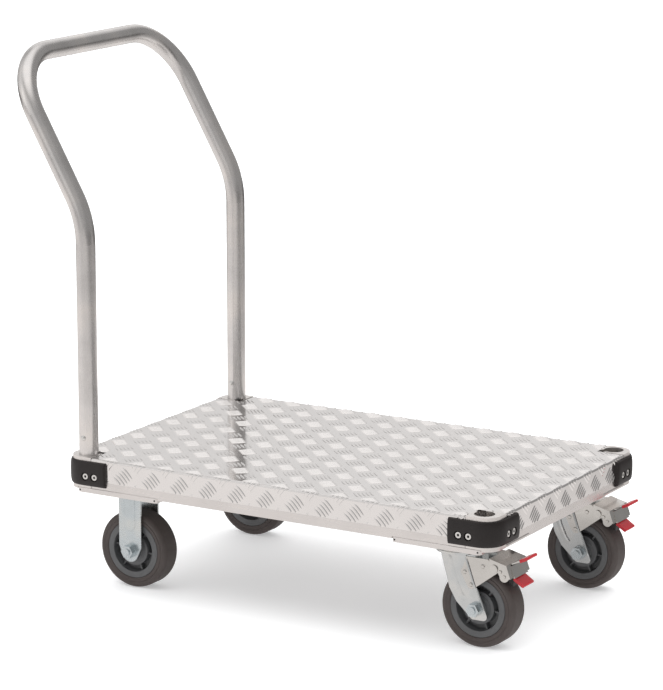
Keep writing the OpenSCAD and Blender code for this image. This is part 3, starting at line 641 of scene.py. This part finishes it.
def slab(bm, low, high):
    """A block between two corners. Returns its edges."""
    made = bmesh.ops.create_cube(bm, size=1)["verts"]
    low, high = Vector(low), Vector(high)
    for v in made:
        v.co = Vector((low[i] + (v.co[i] + 0.5) * (high[i] - low[i]) for i in range(3)))
    return list({e for v in made for e in v.link_edges})


def disc_on(bm, centre, out, radius, depth, sides):
    """A shallow disc with a rim, seen as a drilled hole or a recess; in a dark material it is
    painted shade.
    """
    flip = out.to_track_quat("Z", "Y").to_matrix()
    turns = [2 * math.pi * k / sides for k in range(sides)]
    rim = [bm.verts.new(centre + flip @ Vector((math.cos(a), math.sin(a), 0)) * radius)
           for a in turns]
    low = [bm.verts.new(v.co - out * depth) for v in rim]
    bm.faces.new(rim)
    for k in range(sides):
        bm.faces.new((rim[k], rim[(k + 1) % sides], low[(k + 1) % sides], low[k]))


def fork_point(side, face, x, z, off):
    """x ahead of the swivel's axis, z above the axle and off its middle, in millimetres."""
    swivel = Vector(JOINTS["caster_swivel_" + side]["pos_m"])
    axle = middle("tyre_front_" + side)
    return Vector((swivel.x + x * MM, swivel.y + face * off * MM, axle.z + z * MM))


CROWN_OFF = 26.5                  # of the pressings' face from the fork's middle
SIDE_OFF = 29.0                   # of the fork's outer face
PRESSING = ((-6, 80), (-1, 60), (5, 42), (14, 22), (22, 12))
EDGE_LIP = ((42.5, 32), (47, 20), (52.5, 6), (56.6, -6))


def fork_pressings(side):
    """The stiffening bead down each leg, and the lip along its front edge."""
    bm = bmesh.new()
    for face in (-1, 1):
        out = Vector((0, face, 0))
        bead = [fork_point(side, face, x, z, CROWN_OFF) for x, z in PRESSING]
        ridge(bm, along_path(bead, 4), out, 11 * MM, 0.9 * MM)
        lip = [fork_point(side, face, x, z, CROWN_OFF) for x, z in EDGE_LIP]
        ridge(bm, along_path(lip, 3), out, 3.4 * MM, 1.1 * MM)
    piece("fork_pressings_" + side, bm, body_of("swivel_fork_" + side), "zinc_steel", 60,
          look="swivel_zinc")


BRAKE_OFF = 29.06                 # of the cover's outer face from the pivot
# painted shade: dark lines where the brake's cover and block meet
COVER_GAP_SHADE = ((12.5, 5.9, 18.6, 4.2, 1.3), (18.6, 4.2, 21.6, -4.5, 1.3),
              (-5.4, 9.2, -4.6, 12.6, 1.2))  # x and z of both ends, and the width
# painted shade: the dark line in the slot under the cover's front edge
SLOT_SHADE_AT = (22.6, 18, 5.0)         # ahead of the pivot, half length, above the pivot
SLOT_SHADE_FACES = Vector((0.942, 0, 0.335))


def brake_gap_shade(side):
    """Dark lines of painted shade in the gaps between the brake's cover and block, and in the slot
    under the cover's front edge.
    """
    pivot = Vector(JOINTS[f"brake_rocker_{side}_pivot"]["pos_m"])
    bm = bmesh.new()
    for face in (-1, 1):
        for x0, z0, x1, z1, width in COVER_GAP_SHADE:
            a = pivot + Vector((x0, face * BRAKE_OFF, z0)) * MM
            b = pivot + Vector((x1, face * BRAKE_OFF, z1)) * MM
            ridge(bm, along_line(a, b, 6), Vector((0, face, 0)), width * MM, 0.12 * MM)
    ahead, half, above = SLOT_SHADE_AT
    a = pivot + Vector((ahead, -half, above)) * MM
    b = pivot + Vector((ahead, half, above)) * MM
    ridge(bm, along_line(a, b, 12), SLOT_SHADE_FACES, 1.6 * MM, 0.15 * MM)
    piece("brake_gap_shade_" + side, bm, "brake_" + side, "black_plastic", 60)


def fork_seam_shade(side):
    """The leg's front edge stands over the brake bracket: a dark line of painted shade follows it.
    """
    bm = bmesh.new()
    for face in (-1, 1):
        a = fork_point(side, face, 27, 79, SIDE_OFF + 0.04)
        b = fork_point(side, face, 43, 33, SIDE_OFF + 0.04)
        ridge(bm, along_line(a, b, 8), Vector((0, face, 0)), 1.1 * MM, 0.12 * MM)
    piece("fork_seam_shade_" + side, bm, "swivel_" + side, "black_plastic", 60)


def fork_folds(side):
    """The leg's folded front edge, beside the painted shade of its seam."""
    bm = bmesh.new()
    for face in (-1, 1):
        a = fork_point(side, face, 24, 80, SIDE_OFF + 0.02)
        b = fork_point(side, face, 40.5, 33, SIDE_OFF + 0.02)
        ridge(bm, along_line(a, b, 8), Vector((0, face, 0)), 3.6 * MM, 0.7 * MM)
    piece("fork_folds_" + side, bm, "swivel_" + side, "zinc_steel", 60, look="swivel_zinc")


RECESS_R = 2.25 * MM
RECESS_SIDES = 6


# Shallow dark discs in the screw heads: painted shade of their sockets.
def screw_socket_shade():
    bm = bmesh.new()
    for end in ENDS:
        for side in SIDES:
            for place, out in screw_places(end, side, SCREW_SEAT + SCREW_HEAD_H):
                disc_on(bm, place, out, RECESS_R, 0.3 * MM, RECESS_SIDES)
    piece("screw_socket_shade", bm, "chassis", "black_plastic", 40)


FOOT_Y = (128 * MM, 203 * MM)     # from the deck's centre line
FOOT_X = (-1 * MM, 1.6 * MM)      # past the deck's end faces
FOOT_Z = (0.6 * MM, 4.6 * MM)     # above the skirt's lower edge


def casting_feet():
    """The foot of each casting, which runs on along the end of the deck."""
    bm = bmesh.new()
    for e in ENDS.values():
        for s in SIDES.values():
            x = DECK_C.x + e * DECK_L / 2
            near, far = sorted(s * y for y in FOOT_Y)
            edges = slab(bm, (x + FOOT_X[0], near, SKIRT_Z + FOOT_Z[0]),
                         (x + FOOT_X[1], far, SKIRT_Z + FOOT_Z[1]))
            bmesh.ops.bevel(bm, geom=edges, offset=0.7 * MM, segments=2, affect="EDGES")
    piece("casting_feet", bm, "chassis", "cast_aluminium", 40)


PAD_HOLE_INSET = 5 * MM
PAD_HOLE_R = 1.5 * MM


def pad_hole_shade():
    """Painted shade of the drilled holes near the ends of the mounting plates: shallow dark discs.
    """
    bm = bmesh.new()
    for end in ENDS:
        for side, s in SIDES.items():
            low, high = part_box(f"mounting_pad_{end}_{side}")
            y = high.y if s > 0 else low.y
            for x in (low.x + PAD_HOLE_INSET, high.x - PAD_HOLE_INSET):
                disc_on(bm, Vector((x, y + s * 0.06 * MM, (low.z + high.z) / 2)), Vector((0, s, 0)),
                        PAD_HOLE_R, 0.3 * MM, 20)
    piece("pad_hole_shade", bm, "chassis", "black_plastic", 40)


for side in SIDES:
    fork_pressings(side)
for side in SIDES:
    brake_gap_shade(side)
for side in SIDES:
    fork_seam_shade(side)
    fork_folds(side)
screw_socket_shade()
casting_feet()
pad_hole_shade()

for name, node in frame["nodes"].items():
    node.data.materials.clear()
    node.data.materials.append(MATERIALS[SLOT_OF[name]])

# ---- floor, light and camera ----


WORLD_BASE = 0.30
FLOOR_BASE = 0.80
FLOOR_GLOW = 0.36
FLOOR_HALF = 30
BACKDROP_R = 40


def stage_object(name, bm):
    """A part of the stage with a fresh material: (object, node tree, shader)."""
    obj = new_object(name, bm)
    mat, tree, bsdf = node_tree(name)
    obj.data.materials.append(mat)
    return obj, tree, bsdf


def stage_plane(name):
    bm = bmesh.new()
    bmesh.ops.create_grid(bm, x_segments=1, y_segments=1, size=FLOOR_HALF)
    return stage_object(name, bm)


def seen_only_by(obj, ray):
    """Hides a stage object from every kind of ray but one."""
    for kind in ("camera", "diffuse", "glossy", "transmission", "volume_scatter", "shadow"):
        setattr(obj, "visible_" + kind, kind == ray)


def glow_only(tree, bsdf):
    """Makes a material plain emission. Returns its node."""
    tree.nodes.remove(bsdf)
    glow = add(tree, "ShaderNodeEmission")
    tree.links.new(glow.outputs["Emission"], tree.nodes["Material Output"].inputs["Surface"])
    return glow


def stage_floor():
    """Pale floor for the camera, lit partly from below so that its shadows stay light."""
    obj, _, bsdf = stage_plane("floor")
    bsdf.inputs["Base Color"].default_value = (FLOOR_BASE, FLOOR_BASE * 1.01, FLOOR_BASE * 1.02, 1)
    bsdf.inputs["Roughness"].default_value = 0.9
    bsdf.inputs["Specular IOR Level"].default_value = 0.1
    bsdf.inputs["Emission Color"].default_value = (0.98, 0.99, 1.0, 1)
    bsdf.inputs["Emission Strength"].default_value = FLOOR_GLOW
    obj.visible_glossy = False


def fade(tree, value, start, end, gain):
    """0 at start, gain at end, smooth between."""
    n = add(tree, "ShaderNodeMapRange", interpolation_type="SMOOTHSTEP")
    n.inputs["From Min"].default_value = start
    n.inputs["From Max"].default_value = end
    n.inputs["To Max"].default_value = gain
    tree.links.new(value, n.inputs["Value"])
    return n.outputs["Result"]


def combine(tree, operation, a, b):
    n = add(tree, "ShaderNodeMath", operation=operation)
    for slot, value in zip(n.inputs, (a, b)):
        if isinstance(value, float):
            slot.default_value = value
        else:
            tree.links.new(value, slot)
    return n.outputs["Value"]


def reach_along(tree, position, direction):
    n = add(tree, "ShaderNodeVectorMath", operation="DOT_PRODUCT")
    n.inputs[1].default_value = direction
    tree.links.new(position, n.inputs[0])
    return n.outputs["Value"]


def mirror_floor(back, right):
    """The floor as the metal sees it.

    A lit patch, darker to the right and left, far in front and far behind, with the deck's shadow
    painted in under the deck.
    """
    obj, tree, bsdf = stage_plane("mirror_floor")
    obj.location.z = 0.3 * MM
    glow = glow_only(tree, bsdf)
    glow.inputs["Color"].default_value = (1.0, 0.965, 0.945, 1)
    position = add(tree, "ShaderNodeTexCoord").outputs["Object"]
    total = 0.85
    for direction, start, end, gain in ((right, 0.5, 1.8, -0.48), (-back, 0.7, 2.4, -0.26),
                                        (back, 1.6, 2.8, -0.60), (-right, 2.4, 3.6, -0.25)):
        reach = reach_along(tree, position, direction)
        total = combine(tree, "ADD", fade(tree, reach, start, end, gain), total)
    # painted shadow: the glow is darker under the deck's footprint
    split = add(tree, "ShaderNodeSeparateXYZ")
    tree.links.new(position, split.inputs[0])
    deck_shadow_mask = 1.0
    for axis, centre, half in (("X", SHIFT_X, DECK_L / 2), ("Y", 0.0, DECK_W / 2)):
        off = combine(tree, "ABSOLUTE", combine(tree, "SUBTRACT", split.outputs[axis], centre), 0.0)
        band = fade(tree, off, half + 0.06, half - 0.10, 1.0)
        deck_shadow_mask = combine(tree, "MULTIPLY", band, deck_shadow_mask)
    total = combine(tree, "ADD", total, combine(tree, "MULTIPLY", deck_shadow_mask, -0.34))
    tree.links.new(combine(tree, "MAXIMUM", total, 0.12), glow.inputs["Strength"])
    seen_only_by(obj, "glossy")


def studio_world(back, right):
    """Surroundings as the metal sees them.

    Pale behind and to the left, with a dark strip behind to the right, a weak panel in front and
    a broad one overhead. Each row: direction, cosines where it starts and is full, and gain.
    """
    w = bpy.data.worlds.new("studio")
    bpy.context.scene.world = w
    w.use_nodes = True
    tree = w.node_tree
    direction = add(tree, "ShaderNodeTexCoord").outputs["Generated"]
    up = Vector((0, 0, 1))

    def towards(degrees, lift):
        a = math.radians(degrees)
        return (back * math.cos(a) + right * math.sin(a) + up * lift).normalized()

    total = WORLD_BASE
    for aim, start, end, gain in (
        (towards(-4, 0.15), 0.80, 0.97, 0.41),
        (towards(-70, 0.10), 0.45, 0.92, 0.42),
        (towards(-125, 0.10), 0.70, 0.95, 0.36),
        (towards(12, 0.80), 0.88, 0.98, 0.34),
        (towards(-38, 0.22), 0.90, 0.985, -0.25),
        (towards(180, 0.45), 0.72, 0.96, 0.10),
        (up, 0.68, 0.93, 0.72),
    ):
        reach = reach_along(tree, direction, aim)
        total = combine(tree, "ADD", fade(tree, reach, start, end, gain), total)
    background = tree.nodes["Background"]
    background.inputs["Color"].default_value = (1.0, 0.985, 0.975, 1)
    tree.links.new(total, background.inputs["Strength"])


def backdrop():
    """White beyond the floor's edge, for the camera alone."""
    bm = bmesh.new()
    bmesh.ops.create_icosphere(bm, subdivisions=4, radius=BACKDROP_R)
    obj, tree, bsdf = stage_object("backdrop", bm)
    glow_only(tree, bsdf)
    seen_only_by(obj, "camera")


def sun_light(strength, angle, tilt):
    """Broad overhead light for the floor and the matt parts; the metal reflects only the world."""
    light = bpy.data.lights.new("overhead", "SUN")
    light.energy = strength
    light.angle = math.radians(angle)
    obj = bpy.data.objects.new("overhead", light)
    bpy.context.scene.collection.objects.link(obj)
    obj.rotation_euler = (-tilt).to_track_quat("-Z", "Y").to_euler()
    obj.visible_glossy = False


AZIMUTH = 30.39                   # degrees from -Y towards +X
ELEVATION = 12.55
DISTANCE = 5.1557
LENS = 176.04
TARGET = Vector((SHIFT_X - 0.0379, 0, 0.3888))
BACK = Vector((-math.sin(math.radians(AZIMUTH)), math.cos(math.radians(AZIMUTH)), 0))
RIGHT = Vector((BACK.y, -BACK.x, 0))


def camera():
    cam = bpy.data.cameras.new("camera")
    obj = bpy.data.objects.new("camera", cam)
    bpy.context.scene.collection.objects.link(obj)
    az, el = math.radians(AZIMUTH), math.radians(ELEVATION)
    offset = Vector((math.cos(el) * math.sin(az), -math.cos(el) * math.cos(az), math.sin(el)))
    obj.location = TARGET + offset * DISTANCE
    obj.rotation_euler = (-offset).to_track_quat("-Z", "Y").to_euler()
    cam.sensor_fit = "HORIZONTAL"
    cam.sensor_width = 36
    cam.lens = LENS
    cam.clip_end = 100
    bpy.context.scene.camera = obj


stage_floor()
mirror_floor(BACK, RIGHT)
backdrop()
studio_world(BACK, RIGHT)
sun_light(2.8, 110, Vector((-0.1, 0.25, 1)))
camera()
bpy.context.scene.view_settings.view_transform = "Standard"
